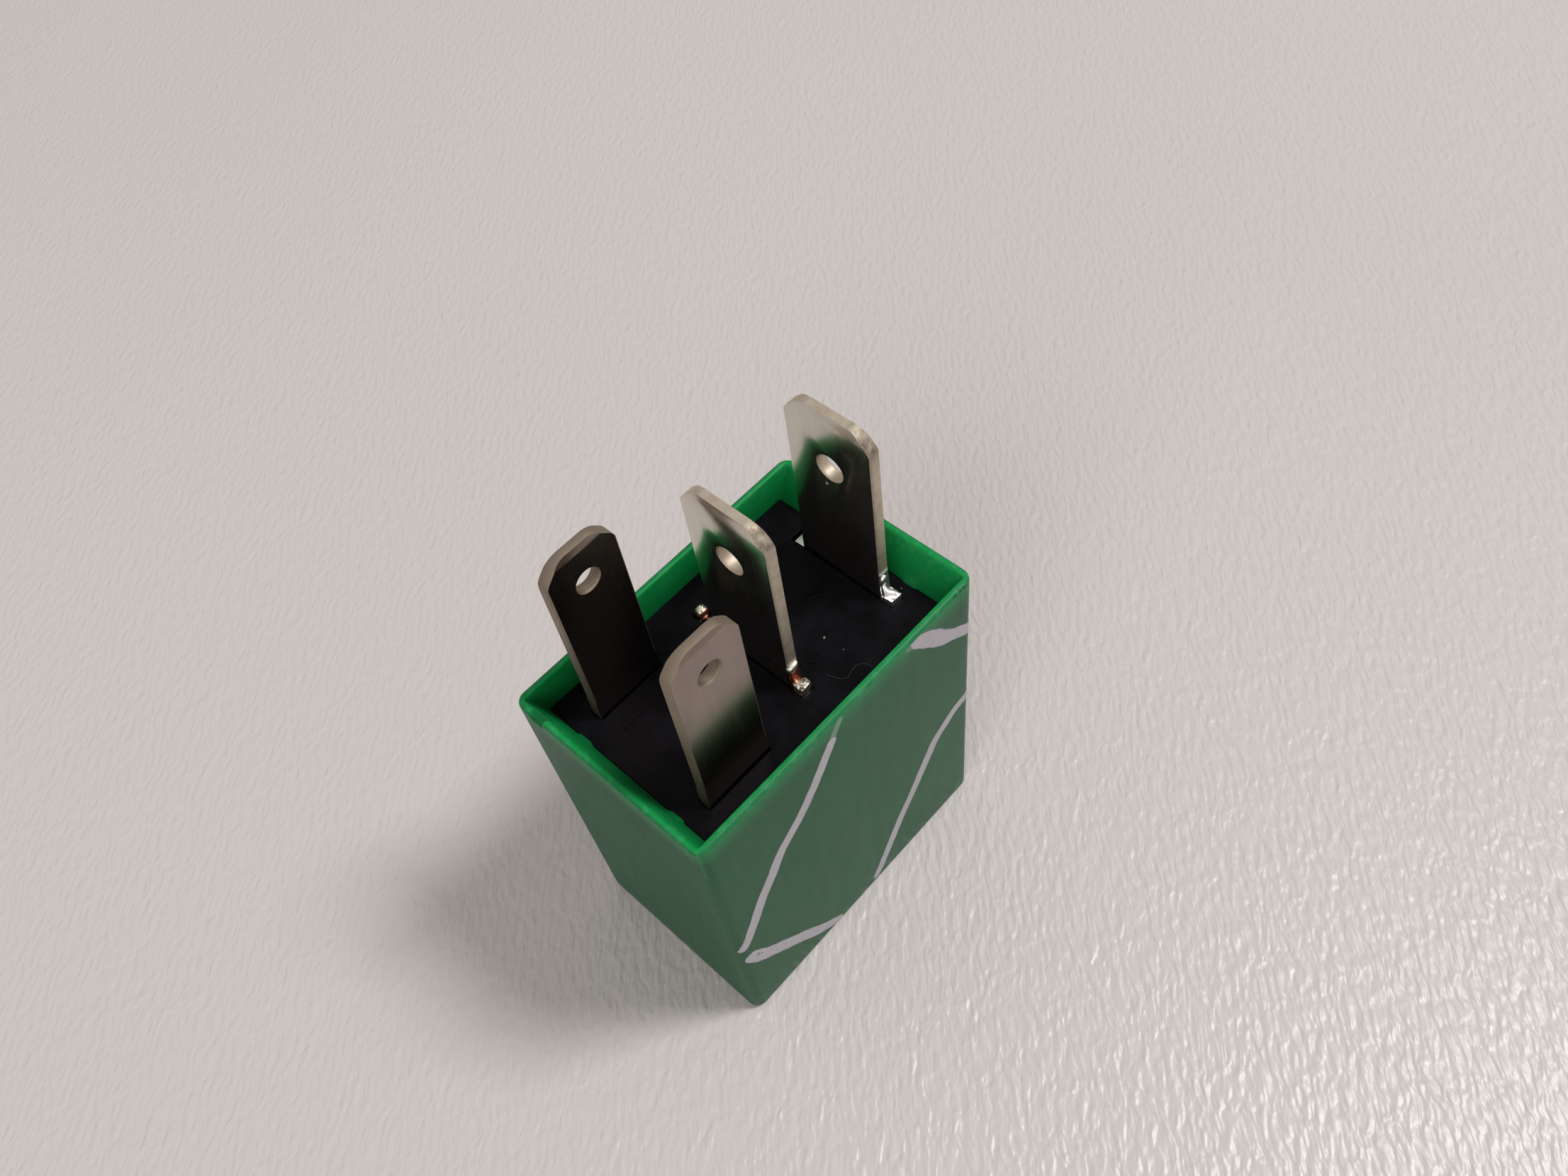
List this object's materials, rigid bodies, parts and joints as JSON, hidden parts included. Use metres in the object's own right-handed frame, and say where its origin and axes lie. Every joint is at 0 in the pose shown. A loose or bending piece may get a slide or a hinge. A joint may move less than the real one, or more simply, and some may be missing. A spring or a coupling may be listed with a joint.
{
  "type": "automotive relay",
  "caption": "Plug-in vehicle relay with flat blade terminals standing up from an open-rimmed plastic cover, hinged armature magnet and normally open contacts inside.",
  "frame": {"origin": "centre of the cover's closed end, which lies on the ground plane", "axes": "+Z towards the blade tips; +X along the long side from the coil blades to the load blades; +Y towards the long side with the outer lug of the common blade"},
  "size_m": [0.023, 0.015, 0.0374],
  "materials": {
    "green_plastic": "fine satin moulding",
    "black_plastic": "matt moulding",
    "tin_plate": "tin-plated copper alloy, half bright",
    "bobbin_plastic": "matt moulding",
    "enamelled_wire": "enamelled copper wire",
    "magnet_steel": "zinc-plated soft iron",
    "spring_alloy": "rolled spring strip",
    "contact_silver": "silver alloy",
    "rivet_brass": "formed rivet",
    "resistor_enamel": "lacquered ceramic",
    "solder": "bright solder"
  },
  "bodies": {
    "housing": {"cover": "green_plastic", "base": "black_plastic", "coil_terminal_a": "tin_plate", "coil_terminal_b": "tin_plate", "common_terminal": "tin_plate", "switched_terminal": "tin_plate", "bobbin": "bobbin_plastic", "coil_winding": "enamelled_wire", "core": "magnet_steel", "yoke": "magnet_steel", "fixed_contact": "contact_silver", "spring_rivets": "rivet_brass", "terminal_rivets": "magnet_steel", "back_stop": "tin_plate", "suppression_resistor": "resistor_enamel", "solder_joints": "solder"},
    "armature": {"armature": "magnet_steel", "contact_spring": "spring_alloy", "moving_contact": "contact_silver", "armature_rivets": "rivet_brass"}
  },
  "joints": [
    {"name": "armature_hinge", "type": "hinge", "parent": "housing", "child": "armature", "pos_m": [-0.0092, 0, 0.00524], "axis": [0, -1, 0], "range_deg": [0, 2.5], "stiffness_Nm_per_rad": 0.1, "springref_deg": -2.29, "deforming": ["contact_spring"]}
  ]
}
